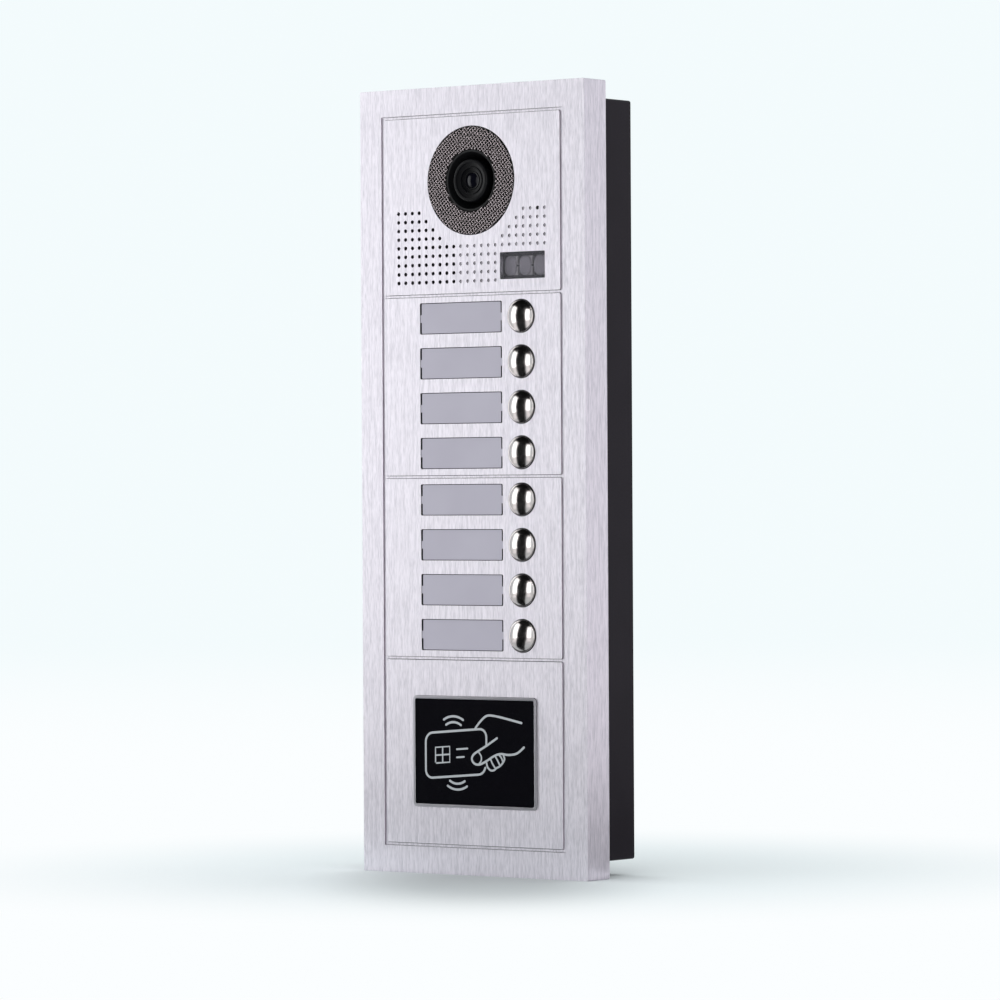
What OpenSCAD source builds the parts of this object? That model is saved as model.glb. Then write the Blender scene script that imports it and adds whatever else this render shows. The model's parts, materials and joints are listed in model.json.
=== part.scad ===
// Door station for eight flats: four flush modules in one aluminium face frame,
// hung on a shallow wall box. +Z is up, the face looks along -Y and the wall face is Y = 0.

/* [Face frame] */
// Width of the face frame
face_w = 125; // [125:1:135]
// Height of the face frame
face_h = 350; // [350:1:360]
// Depth of the face frame, front to rear rim
frame_depth = 16; // [14:0.5:18]
// Whole depth from the wall to the face
total_depth = 45; // [45:1:60]
// Thickness of the frame's skirt
skirt_t = 2.5; // [2:0.1:3]
// Width of the groove round each module plate
groove_w = 1.4; // [1.2:0.1:1.6]
// Depth of that groove
groove_depth = 0.6; // [0.3:0.1:1]
// Gap between a module plate and the frame
plate_gap = 0.2; // [0.1:0.05:0.3]

/* [Wall box] */
// Width of the wall box
box_w = 110; // [108:1:112]
// Height of the wall box
box_h = 336; // [333:1:337]
// Thickness of the box's side walls
box_wall = 2; // [1.5:0.1:2.5]
// Distance across between the wall screw holes
wall_hole_dx = 70; // [50:5:80]
// Distance up between the wall screw holes
wall_hole_dz = 240; // [200:10:260]
// Radius of a wall screw hole
wall_hole_r = 2.5; // [2:0.1:3]
// Height of the cable entry above the middle
entry_z = 110; // [90:5:115]
// Radius of the hole through the cable grommet
entry_r = 4; // [3:0.5:5]

/* [Module plates] */
// Height of the camera module's plate
camera_plate_h = 78.5; // [78:0.1:79]
// Height of a button module's plate
button_plate_h = 79.3; // [79:0.1:80]
// Height of the card reader module's plate
reader_plate_h = 81.9; // [81:0.1:83]
// Width of every plate
plate_w = 98.2; // [98:0.1:99]
// Thickness of every plate
plate_t = 3; // [2.5:0.1:3]

/* [Camera and sound] */
// Radius of the mesh ring round the camera
ring_r = 24.2; // [23:0.1:24.5]
// Radius of the opening in the mesh ring
ring_hole_r = 13.5; // [13:0.1:14]
// Drop from the top edge to the camera's axis
camera_drop = 42.1; // [41:0.1:43]
// Radius of the lens barrel
barrel_r = 9.5; // [9:0.1:10]
// Spacing of the grille holes
hole_pitch = 3.88; // [3.7:0.01:3.9]
// Drop from the top edge to the first row of holes
hole_drop = 55.6; // [55:0.1:56]
// Radius of a hole that lets sound out
sound_hole_r = 0.85; // [0.6:0.05:1]
// Radius of a blind dimple that carries the pattern on
dimple_r = 0.75; // [0.5:0.05:0.8]
// Radius of the loudspeaker
speaker_r = 18; // [16:0.5:18]

/* [Lamp] */
// Width of the lamp window
lamp_w = 24.7; // [22:0.1:25]
// Height of the lamp window
lamp_h = 11.9; // [10:0.1:12]

/* [Call buttons] */
// Radius of the visible button head
button_r = 7.1; // [6.5:0.1:7.1]
// Radius of the hole it sits in
button_hole_r = 7.5; // [7.4:0.1:7.8]
// Height of the domed top
dome_h = 2.2; // [1.5:0.1:3]
// How far a button travels
travel = 1.2; // [0.8:0.1:1.3]
// Spacing of the buttons
button_pitch = 20; // [20:0.1:20]
// Sideways place of the buttons
button_x = 27.5; // [26:0.5:29]

/* [Name windows] */
// Width of the opening for a name window
label_w = 45.8; // [44:0.1:46]
// Height of that opening
label_h = 13.9; // [13:0.1:14]
// Sideways place of the name windows
label_x = -6; // [-8:0.5:-5]
// Width of the slots beside a name window
label_slot = 0.8; // [0.5:0.1:1]
// Height of the tab that bridges each slot
label_tab_h = 3.4; // [3:0.1:5]
// Gap above and below a name window
label_line = 0.3; // [0.1:0.1:0.4]

/* [Card reader] */
// Width of the trim round the reader window
trim_w = 69; // [66:0.1:70]
// Height of that trim
trim_h = 49.6; // [48:0.1:51]
// Width of the trim's visible lip
trim_lip = 1.4; // [1:0.1:2]
// How far the trim stands proud of the plate
trim_proud = 0.6; // [0.2:0.1:1]
// Drop from the top edge to the middle of the reader window
reader_drop = 295.4; // [294:0.1:297]
// Sideways place of the reader window
reader_x = 0.7; // [-1:0.1:1]

/* [Hidden] */
gap = 0.05;                // clearance round a piece dropped into its opening
over = 1;                  // how far a cut runs past the face it opens
line_w = 0.2;              // width of the fine line sunk along the groove's outer edge
line_depth = 1.4;          // and its depth
fine = 64;                 // facets asked of a round, which is a true round in the solid
rows = 4;                  // buttons in one module
first_row = 9.5;           // from a button plate's top edge to its first row
edge_h = (face_h - camera_plate_h - 2 * button_plate_h - reader_plate_h - 5 * groove_w) / 2;
groove_outer_w = plate_w + 2 * groove_w;
groove_outer_h = face_h - 2 * edge_h;

// Drop from the top edge of the frame to the top edge of each plate
camera_top = edge_h + groove_w;
upper_top = camera_top + camera_plate_h + groove_w;
lower_top = upper_top + button_plate_h + groove_w;
reader_top = lower_top + button_plate_h + groove_w;

// Levels are distances behind the face
wall_level = total_depth;
box_floor_t = 3;
box_corner_r = 1.2;
face_corner_r = 0.6;
floor_level = total_depth - box_floor_t;
rim_level = plate_t + 1;
carrier_t = 1.6;
carrier_back = plate_t + carrier_t;
carrier_w = box_w - 2 * box_wall - 1;
carrier_rim = 16;
carrier_wall_x = 48.5;
carrier_wall_t = 1.5;
carrier_gap = 0.5;

button_board_level = 13.8;
board_t = 1.6;
module_board_w = 82;
reader_board_level = 6;
main_board_level = 24;
main_board_w = 96;
main_board_h = 140;
pillar_x = 45.2;
pillar_r = 2.4;
pillar_z = 60;
post_x = 38;
post_r = 2.2;
post_inset = first_row + 10;

small_screw_r = 0.95;
small_head_r = 1.7;
small_head_t = 1.4;
small_screw_x = 50.9;
small_screw_inset = 12;
post_screw_tip = 7;

security_x = 40;
security_level = 10;
security_r = 1.5;
security_head_r = 3;
security_head_t = 1.5;
security_tip = 13;
boss_r = 4;
hook_x = 35;
hook_w = 14;
hook_front = 8.5;
hook_back = 10.5;
hook_drop = 8.5;

camera_z = face_h / 2 - camera_drop;
ring_t = 1.2;
ring_front = 0.2;
hood_r = 19.5;
hood_neck_r = 14.5;
hood_back = 9;
lens_r = 5.6;
lens_front = 0;
lens_back = 8;
barrel_front = -0.4;
barrel_back = 16;
speaker_x = hole_pitch * -6.5;
speaker_z = face_h / 2 - hole_drop - 4 * hole_pitch;
mic_x = hole_pitch * 9.5;
mic_z = face_h / 2 - hole_drop;
mic_r = 3;
lamp_x = 28.4;
lamp_z = face_h / 2 - 80.45;
lamp_pitch_x = 8;
lamp_pitch_z = 4.6;
lamp_front = 5;
lamp_back = 6.6;
grille_columns = 22;
grille_rows = 9;
dimple_depth = 0.7;
flare_level = 1;
flare_r = 1.6;

guide_r = 8.55;
sleeve_r = 9.8;
flange_r = 8.2;
flange_front = plate_t + 0.1;
flange_back = 4.3;
sleeve_floor = 8;
sleeve_back = 9.5;
stem_r = 2.5;
stem_back = 8.5;
switch_front = stem_back + travel + 0.1;
spring_r = 4.3;
spring_wire_r = 0.28;
spring_turns = 3.5;

glass_w = trim_w - 2 * trim_lip;
glass_h = trim_h - 2 * trim_lip;
reader_z = face_h / 2 - reader_drop;

aluminium = [0.86, 0.85, 0.88];
black = [0.12, 0.11, 0.13];
board_green = [0.1, 0.35, 0.22];

button_names = [for (i = [1:2 * rows]) str("button_", i)];
spring_names = [for (i = [1:2 * rows]) str("button_spring_", i)];
label_names = [for (i = [1:2 * rows]) str("label_window_", i)];

// Height above the middle of the frame for a drop from its top edge
function up(drop) = face_h / 2 - drop;

// Middle of row i of all the call buttons, counted from 0 at the top
function row_z(i) = up((i < rows ? upper_top : lower_top) + first_row + (i % rows) * button_pitch);

// Extrudes a flat outline, drawn in X and Z, between two levels behind the face
module slab(front, back) {
    translate([0, back - total_depth, 0]) rotate([90, 0, 0]) linear_extrude(back - front) children();
}

// Turns a shape built along +Z so that it runs back from the face, on the axis at x, z
module facing(x, z) {
    translate([x, -total_depth, z]) rotate([-90, 0, 0]) children();
}

// A round bar between two levels
module rod(x, z, r, front, back) {
    facing(x, z) translate([0, 0, front]) cylinder(h = back - front, r = r, $fn = fine);
}

module at(x, z) {
    translate([x, z]) children();
}

module rounded(w, h, r) {
    square([w - 2 * r, h], center = true);
    square([w, h - 2 * r], center = true);
    for (x = [-1, 1], z = [-1, 1])
        at(x * (w / 2 - r), z * (h / 2 - r)) circle(r = r, $fn = fine);
}

module small_screw_places(top, height) {
    for (x = [-1, 1], drop = [small_screw_inset, height - small_screw_inset])
        at(x * small_screw_x, up(top + drop)) children();
}

module post_places(top, height) {
    for (x = [-1, 1], drop = [post_inset, height - post_inset])
        at(x * post_x, up(top + drop)) children();
}

// Outline of one module's plate, grown all round by a margin
module plate_outline(top, height, grow = 0) {
    at(0, up(top + height / 2)) rounded(plate_w + 2 * grow, height + 2 * grow, 0.8);
}

module face_frame() {
    color(aluminium) {
        difference() {
            slab(0, frame_depth) rounded(face_w, face_h, face_corner_r);
            slab(plate_t, frame_depth + over) rounded(face_w - 2 * skirt_t, face_h - 2 * skirt_t, 1);
            slab(-over, groove_depth) square([groove_outer_w, groove_outer_h], center = true);
            slab(-over, line_depth) difference() {
                square([groove_outer_w, groove_outer_h], center = true);
                square([groove_outer_w - 2 * line_w, groove_outer_h - 2 * line_w], center = true);
            }
            slab(-over, plate_t + over) plate_outline(camera_top, camera_plate_h, plate_gap);
            slab(-over, plate_t + over) plate_outline(upper_top, button_plate_h, plate_gap);
            slab(-over, plate_t + over) plate_outline(lower_top, button_plate_h, plate_gap);
            slab(-over, plate_t + over) plate_outline(reader_top, reader_plate_h, plate_gap);
            slab(1.2, plate_t + over) all_small_screw_places()
                circle(r = small_screw_r + gap, $fn = fine);
            for (x = [-1, 1]) security_hole(x * security_x);
        }
        for (x = [-1, 1]) {
            hanging_hook(x * hook_x);
            security_boss(x * security_x);
        }
    }
}

module all_small_screw_places() {
    small_screw_places(camera_top, camera_plate_h) children();
    small_screw_places(upper_top, button_plate_h) children();
    small_screw_places(lower_top, button_plate_h) children();
    small_screw_places(reader_top, reader_plate_h) children();
}

// Clearance hole and counterbore for a security screw, up through the bottom of the skirt
module security_hole(x) {
    translate([x, security_level - total_depth, -face_h / 2 - over]) {
        cylinder(h = skirt_t + 2 * over, r = security_r + 0.1, $fn = fine);
        cylinder(h = security_head_t + over, r = security_head_r + 0.1, $fn = fine);
    }
}

// Spacer that fills the gap between the skirt and the wall box round a security screw
module security_boss(x) {
    translate([x, security_level - total_depth, -face_h / 2 + skirt_t]) difference() {
        cylinder(h = (face_h - box_h) / 2 - skirt_t - gap, r = boss_r, $fn = fine);
        translate([0, 0, -over]) cylinder(h = face_h, r = security_r + 0.1, $fn = fine);
    }
}

// Tab that hangs the face frame on a slot in the top of the wall box
module hanging_hook(x) {
    slab(hook_front, hook_back)
        at(x, (face_h / 2 - skirt_t) - hook_drop / 2) square([hook_w, hook_drop], center = true);
}

module face_gasket() {
    color(black) slab(plate_t, rim_level) difference() {
        rounded(box_w, box_h, box_corner_r);
        rounded(box_w - 2 * box_wall, box_h - 2 * box_wall, 0.5);
    }
}

// True where the grille pattern has a hole: its rows step down round the camera ring, and the
// lower ones stop short of the lamp window
function has_hole(column, row) =
    row >= 5 ? column < 15 : row == 4 ? true : column < 4 + row || column > 17 - row;

function is_sound_hole(column, row) = column < 9 || (row == 0 && column == 20);

module grille(sound, r) {
    for (row = [0:grille_rows - 1], column = [0:grille_columns - 1])
        if (has_hole(column, row) && is_sound_hole(column, row) == sound)
            at((column - (grille_columns - 1) / 2) * hole_pitch, up(hole_drop + row * hole_pitch))
                circle(r = r, $fn = 24);
}

module camera_plate() {
    color(aluminium) difference() {
        slab(0, plate_t) plate_outline(camera_top, camera_plate_h);
        slab(-over, plate_t + over) grille(true, sound_hole_r);
        slab(flare_level, plate_t + over) grille(true, flare_r);
        slab(-over, dimple_depth) grille(false, dimple_r);
        slab(-over, plate_t + over) at(lamp_x, lamp_z) rounded(lamp_w, lamp_h, 0.4);
        rod(0, camera_z, ring_r + gap, -over, ring_front + ring_t);
        rod(0, camera_z, hood_r + 0.5, 0, plate_t + over);
    }
}

module button_plate(first, top) {
    color(aluminium) slab(0, plate_t) difference() {
        plate_outline(top, button_plate_h);
        for (i = [first:first + rows - 1]) {
            at(button_x, row_z(i)) circle(r = button_hole_r, $fn = fine);
            at(label_x, row_z(i)) rounded(label_w, label_h, 0.6);
        }
    }
}

module reader_plate() {
    color(aluminium) slab(0, plate_t) difference() {
        plate_outline(reader_top, reader_plate_h);
        at(reader_x, reader_z) rounded(trim_w - 1.4, trim_h - 1.4, 1.5);
    }
}

// Tray that holds one module's parts: a flange against the frame and walls that run back
module carrier_shell(top, height) {
    slab(plate_t, carrier_back) difference() {
        at(0, up(top + height / 2)) rounded(carrier_w, height + carrier_gap, 1);
        small_screw_places(top, height) circle(r = small_screw_r + gap, $fn = fine);
    }
    slab(carrier_back, carrier_rim) at(0, up(top + height / 2)) difference() {
        rounded(2 * carrier_wall_x, height - 4, 1);
        rounded(2 * (carrier_wall_x - carrier_wall_t), height - 4 - 2 * carrier_wall_t, 0.6);
    }
}

module camera_carrier() {
    color(black) difference() {
        carrier_shell(camera_top, camera_plate_h);
        rod(0, camera_z, hood_neck_r + 0.5, 0, carrier_rim);
        rod(speaker_x, speaker_z, speaker_r + 0.1, 0, carrier_rim - over);
        rod(mic_x, mic_z, mic_r + gap, 0, carrier_rim - over);
        slab(0, carrier_rim - over) at(lamp_x, lamp_z) rounded(lamp_w + 2.6, lamp_h + 2.6, 0.5);
    }
}

module button_carrier(first, top, pillar_side) {
    color(black) {
        difference() {
            union() {
                carrier_shell(top, button_plate_h);
                for (i = [first:first + rows - 1])
                    rod(button_x, row_z(i), sleeve_r, carrier_back - gap, sleeve_back);
            }
            for (i = [first:first + rows - 1]) {
                rod(button_x, row_z(i), guide_r, plate_t - over, sleeve_floor);
                rod(button_x, row_z(i), stem_r + 0.1, sleeve_floor - over, sleeve_back + over);
                label_leg_slots(row_z(i));
            }
        }
        slab(carrier_back, button_board_level) difference() {
            post_places(top, button_plate_h) circle(r = post_r, $fn = fine);
            post_places(top, button_plate_h) circle(r = small_screw_r + gap, $fn = fine);
        }
        for (x = [-1, 1]) main_board_pillar(x * pillar_x, pillar_side * pillar_z);
    }
}

// Pillar that carries a corner of the main board, with a hole for its screw
module main_board_pillar(x, z) {
    slab(carrier_back, main_board_level) difference() {
        at(x, z) circle(r = pillar_r, $fn = fine);
        at(x, z) circle(r = small_screw_r + gap, $fn = fine);
    }
}

module label_leg_slots(z) {
    for (x = [-1, 1])
        slab(plate_t - over, carrier_back + over)
            at(label_x + x * (label_w / 2 - label_slot / 2), z)
                square([label_slot + 0.4, label_tab_h + 0.4], center = true);
}

module reader_carrier() {
    color(black) {
        carrier_shell(reader_top, reader_plate_h);
        slab(carrier_back, reader_board_level) difference() {
            post_places(reader_top, reader_plate_h) circle(r = post_r, $fn = fine);
            post_places(reader_top, reader_plate_h) circle(r = small_screw_r + gap, $fn = fine);
        }
    }
}

module camera_ring() {
    color([0.45, 0.4, 0.4]) slab(ring_front, ring_front + ring_t) at(0, camera_z) difference() {
        circle(r = ring_r, $fn = fine);
        circle(r = ring_hole_r, $fn = fine);
    }
}

// Black funnel that shades the lens, with a flange behind the mesh ring
module camera_hood() {
    seat = ring_front + ring_t;
    color(black) facing(0, camera_z) rotate_extrude($fn = fine) polygon([
        [ring_hole_r - 0.7, 0.1], [ring_hole_r - gap, 0.1], [ring_hole_r - gap, seat],
        [hood_r, seat], [hood_r, plate_t], [hood_neck_r, plate_t], [hood_neck_r, hood_back],
        [barrel_r + gap, hood_back], [barrel_r + gap, hood_back - 1.5], [barrel_r + 1.4, 5]
    ]);
}

// Round barrel with a stepped front that leads in to the lens
module lens_barrel() {
    color([0.06, 0.06, 0.07]) facing(0, camera_z) rotate_extrude($fn = fine) polygon([
        [0, lens_back], [0, barrel_back], [7, barrel_back], [7, 12], [barrel_r, 12],
        [barrel_r, barrel_front + 0.8], [barrel_r - 0.5, barrel_front],
        [barrel_r - 1.3, barrel_front], [7.4, lens_front], [6.6, lens_front],
        [lens_r + gap, lens_front + 1], [lens_r + gap, lens_back]
    ]);
}

module lens_glass() {
    bulge = 9;
    color([0.1, 0.1, 0.14]) facing(0, camera_z) intersection() {
        translate([0, 0, lens_front]) cylinder(h = lens_back - lens_front, r = lens_r, $fn = fine);
        translate([0, 0, lens_front + bulge]) sphere(r = bulge, $fn = fine);
    }
}

module camera_board() {
    color(board_green) {
        slab(barrel_back, barrel_back + board_t)
            at(0, camera_z) square([34, 34], center = true);
        slab(barrel_back + board_t, barrel_back + board_t + 2.4)
            at(9, camera_z - 9) square([10, 10], center = true);
    }
}

module speaker_basket() {
    color([0.35, 0.35, 0.37]) facing(speaker_x, speaker_z) rotate_extrude($fn = fine) polygon([
        [speaker_r - 1.2, plate_t + gap], [speaker_r, plate_t + gap], [speaker_r, 5],
        [12, 9], [12, 13.5], [0, 13.5], [0, 11], [8, 11], [8, 9], [speaker_r - 1.2, 5]
    ]);
}

module speaker_cone() {
    color([0.2, 0.2, 0.2]) facing(speaker_x, speaker_z) rotate_extrude($fn = fine) polygon([
        [0, 5.4], [4, 6.6], [speaker_r - 1.4, 3.6], [speaker_r - 1.4, 4.1], [4, 7.2], [0, 6]
    ]);
}

module microphone() {
    color([0.6, 0.6, 0.6]) {
        rod(mic_x, mic_z, mic_r, plate_t + gap, 7);
        for (x = [-1, 1]) rod(mic_x + x * 1.2, mic_z, 0.3, 7, 10);
    }
}

module lamp_window() {
    color([0.2, 0.2, 0.22, 0.7]) {
        slab(0.1, plate_t) at(lamp_x, lamp_z) rounded(lamp_w - 2 * gap, lamp_h - 2 * gap, 0.35);
        slab(plate_t, plate_t + 1.2) at(lamp_x, lamp_z) rounded(lamp_w + 2.4, lamp_h + 2.4, 0.5);
    }
}

module lamp_board() {
    color(board_green) slab(lamp_back, lamp_back + board_t)
        at(lamp_x, lamp_z) square([lamp_w + 1.6, lamp_h + 1.6], center = true);
}

module lamp_leds() {
    color([0.95, 0.95, 0.85]) for (x = [-1, 0, 1], z = [-1, 1])
        slab(lamp_front, lamp_back) at(lamp_x + x * lamp_pitch_x, lamp_z + z * lamp_pitch_z / 2)
            square([5, 3.8], center = true);
}

// Name window: a pane with a tab at each end, and a snap leg behind each tab
module label_window(i) {
    pane_back = 2.4;
    color([0.68, 0.68, 0.75]) {
        slab(0.25, pane_back) at(label_x, row_z(i)) {
            rounded(label_w - 2 * label_slot, label_h - 2 * label_line, 0.5);
            square([label_w - 0.1, label_tab_h], center = true);
        }
        for (x = [-1, 1])
            slab(pane_back, 6) at(label_x + x * (label_w / 2 - label_slot / 2 - gap), row_z(i))
                square([label_slot - gap, label_tab_h], center = true);
    }
}

module name_cards() {
    color("white") for (i = [0:2 * rows - 1])
        slab(2.5, 2.8) at(label_x, row_z(i))
            square([label_w - 2 * label_slot - 0.4, label_h - 0.8], center = true);
}

// Domed head, a flange that the plate holds back, and a stem that reaches for the switch
module button(i) {
    dome_r = (button_r * button_r + dome_h * dome_h) / (2 * dome_h);
    head_front = -0.3 - dome_h;
    color([0.8, 0.8, 0.82]) {
        facing(button_x, row_z(i)) intersection() {
            translate([0, 0, head_front]) cylinder(h = flange_front - head_front, r = button_r, $fn = fine);
            translate([0, 0, head_front + dome_r]) sphere(r = dome_r, $fn = 128);
        }
        rod(button_x, row_z(i), flange_r, flange_front, flange_back);
        rod(button_x, row_z(i), stem_r, flange_back, stem_back);
    }
}

// Ring points of the coil spring behind a button
coil_front = flange_back + gap + spring_wire_r;
coil_back = sleeve_floor - gap - spring_wire_r;
coil_rings = 43;
coil_sides = 6;
function coil_point(ring, side) =
    let (turn = 360 * spring_turns * ring / (coil_rings - 1),
         level = coil_front + (coil_back - coil_front) * ring / (coil_rings - 1),
         a = 360 * side / coil_sides,
         r = spring_r + spring_wire_r * cos(a))
    [r * cos(turn), r * sin(turn), level + spring_wire_r * sin(a)];

module button_spring(i) {
    points = [for (ring = [0:coil_rings - 1], side = [0:coil_sides - 1]) coil_point(ring, side)];
    walls = [for (ring = [0:coil_rings - 2], side = [0:coil_sides - 1])
        let (next = (side + 1) % coil_sides, a = ring * coil_sides, b = a + coil_sides)
        [a + side, a + next, b + next, b + side]];
    first_end = [for (side = [0:coil_sides - 1]) coil_sides - 1 - side];
    last_end = [for (side = [0:coil_sides - 1]) (coil_rings - 1) * coil_sides + side];
    color([0.6, 0.6, 0.62]) facing(button_x, row_z(i))
        polyhedron(points, concat(walls, [first_end, last_end]), convexity = 6);
}

module tact_switches() {
    color([0.15, 0.15, 0.15]) for (i = [0:2 * rows - 1]) {
        rod(button_x, row_z(i), 1.7, switch_front, switch_front + 0.6);
        slab(switch_front + 0.5, button_board_level)
            at(button_x, row_z(i)) square([6, 6], center = true);
    }
}

module module_board(top, height, front) {
    color(board_green) slab(front, front + board_t) difference() {
        at(0, up(top + height / 2)) square([module_board_w, height - 8], center = true);
        post_places(top, height) circle(r = small_screw_r + gap, $fn = fine);
    }
}

module reader_trim() {
    color([0.8, 0.8, 0.82]) at_reader() {
        slab(-trim_proud, 0) difference() {
            rounded(trim_w, trim_h, 2);
            rounded(glass_w, glass_h, 0.8);
        }
        slab(0, plate_t) difference() {
            rounded(trim_w - 1.5, trim_h - 1.5, 1.45);
            rounded(glass_w, glass_h, 0.8);
        }
    }
}

module at_reader() {
    translate([reader_x, 0, reader_z]) children();
}

module reader_window() {
    color([0.05, 0.05, 0.06]) at_reader()
        slab(-0.1, plate_t) rounded(glass_w - 0.1, glass_h - 0.1, 0.75);
}

module antenna_coil() {
    color([0.75, 0.45, 0.25]) at_reader() slab(5.2, reader_board_level) difference() {
        rounded(58, 39, 4);
        rounded(52, 33, 2);
    }
}

module main_board() {
    color(board_green) {
        slab(main_board_level, main_board_level + board_t) difference() {
            square([main_board_w, main_board_h], center = true);
            main_board_screw_places() circle(r = small_screw_r + gap, $fn = fine);
        }
        // Relay, processor and power coil on the rear side
        slab(main_board_level + board_t, 37) at(-28, 30) square([15, 19], center = true);
        slab(main_board_level + board_t, 27.2) at(12, 20) square([14, 14], center = true);
        slab(main_board_level + board_t, 33) at(-28, -8) circle(r = 6, $fn = fine);
        slab(main_board_level + board_t, 36) at(28, 48) circle(r = 5, $fn = fine);
    }
}

module main_board_screw_places() {
    for (x = [-1, 1], z = [-1, 1]) at(x * pillar_x, z * pillar_z) children();
}

module terminal_block() {
    ways = 8;
    way_pitch = 5;
    front = main_board_level + board_t;
    z = -50;
    color([0.15, 0.45, 0.25]) difference() {
        slab(front, front + 10) at(0, z) square([ways * way_pitch, 9], center = true);
        for (i = [0:ways - 1]) {
            x = (i - (ways - 1) / 2) * way_pitch;
            rod(x, z + 1, 1.6, front + 6, front + 10 + over);
            translate([x, front + 4 - total_depth, z - 5]) cylinder(h = 5, r = 1.4, $fn = fine);
        }
    }
}

// Flat cable of a given width along a route of [level, height] points
module ribbon(x, w, route) {
    t = 0.6;
    far = [for (i = [len(route) - 1:-1:0]) route[i] + [t, t]];
    translate([x - w / 2, 0, 0]) rotate([90, 0, 90]) linear_extrude(w)
        polygon([for (p = concat(route, far)) [p[0] - total_depth, p[1]]]);
}

module ribbon_cables() {
    button_back = button_board_level + board_t;
    color([0.7, 0.7, 0.7]) {
        ribbon(-15, 12, [[button_back, 20], [button_back + 3, 24], [main_board_level - 4, 34],
                         [main_board_level - 0.6, 38]]);
        ribbon(-15, 12, [[button_back, -50], [button_back + 3, -46], [main_board_level - 4, -36],
                         [main_board_level - 0.6, -32]]);
        ribbon(-8, 14, [[main_board_level - 0.6, 66], [main_board_level - 2, 68], [21, 90],
                        [20, 118], [barrel_back + board_t, 121]]);
        ribbon(8, 14, [[8, -100], [10, -96], [17.5, -86], [main_board_level - 3, -72],
                       [main_board_level - 0.6, -68]]);
    }
}

// Shallow box fixed to the wall, open to the front
module back_box() {
    color(black) difference() {
        union() {
            difference() {
                slab(rim_level, wall_level) rounded(box_w, box_h, box_corner_r);
                slab(rim_level - over, floor_level)
                    rounded(box_w - 2 * box_wall, box_h - 2 * box_wall, 0.5);
            }
            for (x = [-1, 1]) nut_block(x * security_x);
        }
        for (x = [-1, 1], z = [-1, 1])
            rod(x * wall_hole_dx / 2, z * wall_hole_dz / 2, wall_hole_r, floor_level - over,
                wall_level + over);
        rod(0, entry_z, 9, floor_level - over, wall_level + over);
        rod(0, entry_z, 12, wall_level - 1.2, wall_level + over);
        for (x = [-1, 1]) {
            hook_slot(x * hook_x);
            security_thread(x * security_x);
        }
    }
}

// Thickened place in the bottom wall that a security screw bites into
module nut_block(x) {
    slab(rim_level + 2, rim_level + 10)
        at(x, -box_h / 2 + 3.5) square([10, 5], center = true);
}

module security_thread(x) {
    translate([x, security_level - total_depth, -box_h / 2 - over])
        cylinder(h = 9, r = security_r + gap, $fn = fine);
}

module hook_slot(x) {
    slab(hook_front - 0.5, hook_back + 0.5)
        at(x, box_h / 2) square([hook_w + 1, 4 * box_wall], center = true);
}

// Rubber grommet, grooved to snap into the floor of the wall box
module cable_grommet() {
    groove_r = 9 - gap;
    outer_r = 11.5;
    color([0.08, 0.08, 0.08]) facing(0, entry_z) rotate_extrude($fn = fine) polygon([
        [entry_r, 36], [6, 36], [7, 40.6], [outer_r, 40.6], [outer_r, floor_level],
        [groove_r, floor_level], [groove_r, wall_level - 1.2], [outer_r, wall_level - 1.2],
        [outer_r, wall_level], [entry_r, wall_level]
    ]);
}

// Button-head screws with a pin in a six-sided socket
module security_screws() {
    color([0.7, 0.7, 0.72]) for (x = [-1, 1])
        translate([x * security_x, security_level - total_depth, -face_h / 2]) difference() {
            union() {
                cylinder(h = security_head_t, r = security_head_r, $fn = fine);
                cylinder(h = security_tip, r = security_r, $fn = fine);
            }
            difference() {
                translate([0, 0, -over]) cylinder(h = over + 1, r = 1.3, $fn = 6);
                translate([0, 0, -over]) cylinder(h = 3, r = 0.5, $fn = fine);
            }
        }
}

// A small cross-head screw that goes in from the rear, its head on the given level
module small_screw(tip, seat) {
    slab(tip, seat) circle(r = small_screw_r, $fn = fine);
    slab(seat, seat + small_head_t) difference() {
        circle(r = small_head_r, $fn = fine);
        square([2, 0.4], center = true);
        square([0.4, 2], center = true);
    }
}

module module_screws() {
    tops = [camera_top, upper_top, lower_top, reader_top];
    heights = [camera_plate_h, button_plate_h, button_plate_h, reader_plate_h];
    button_back = button_board_level + board_t;
    color([0.6, 0.6, 0.55]) {
        for (m = [0:3], x = [-1, 1], drop = [small_screw_inset, heights[m] - small_screw_inset])
            translate([x * small_screw_x, 0, up(tops[m] + drop)]) small_screw(1.3, carrier_back);
        for (m = [1, 2], x = [-1, 1], drop = [post_inset, heights[m] - post_inset])
            translate([x * post_x, 0, up(tops[m] + drop)]) small_screw(post_screw_tip, button_back);
        for (x = [-1, 1], drop = [post_inset, reader_plate_h - post_inset])
            translate([x * post_x, 0, up(reader_top + drop)])
                small_screw(carrier_back + gap, reader_board_level + board_t);
        for (x = [-1, 1], z = [-1, 1])
            translate([x * pillar_x, 0, z * pillar_z])
                small_screw(carrier_back + gap, main_board_level + board_t);
    }
}

face_frame();
face_gasket();
camera_plate();
button_plate(0, upper_top);  // upper_button_plate
button_plate(rows, lower_top);  // lower_button_plate
reader_plate();
camera_carrier();
button_carrier(0, upper_top, 1);  // upper_button_carrier
button_carrier(rows, lower_top, -1);  // lower_button_carrier
reader_carrier();
camera_ring();
camera_hood();
lens_barrel();
lens_glass();
camera_board();
speaker_basket();
speaker_cone();
microphone();
lamp_window();
lamp_board();
lamp_leds();
for (i = [0:2 * rows - 1]) {
    label_window(i);
    button(i);
    button_spring(i);
}
name_cards();
tact_switches();
module_board(upper_top, button_plate_h, button_board_level);  // upper_button_board
module_board(lower_top, button_plate_h, button_board_level);  // lower_button_board
reader_trim();
reader_window();
module_board(reader_top, reader_plate_h, reader_board_level);  // reader_board
antenna_coil();
main_board();
terminal_block();
ribbon_cables();
back_box();
cable_grommet();
security_screws();
module_screws();
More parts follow.
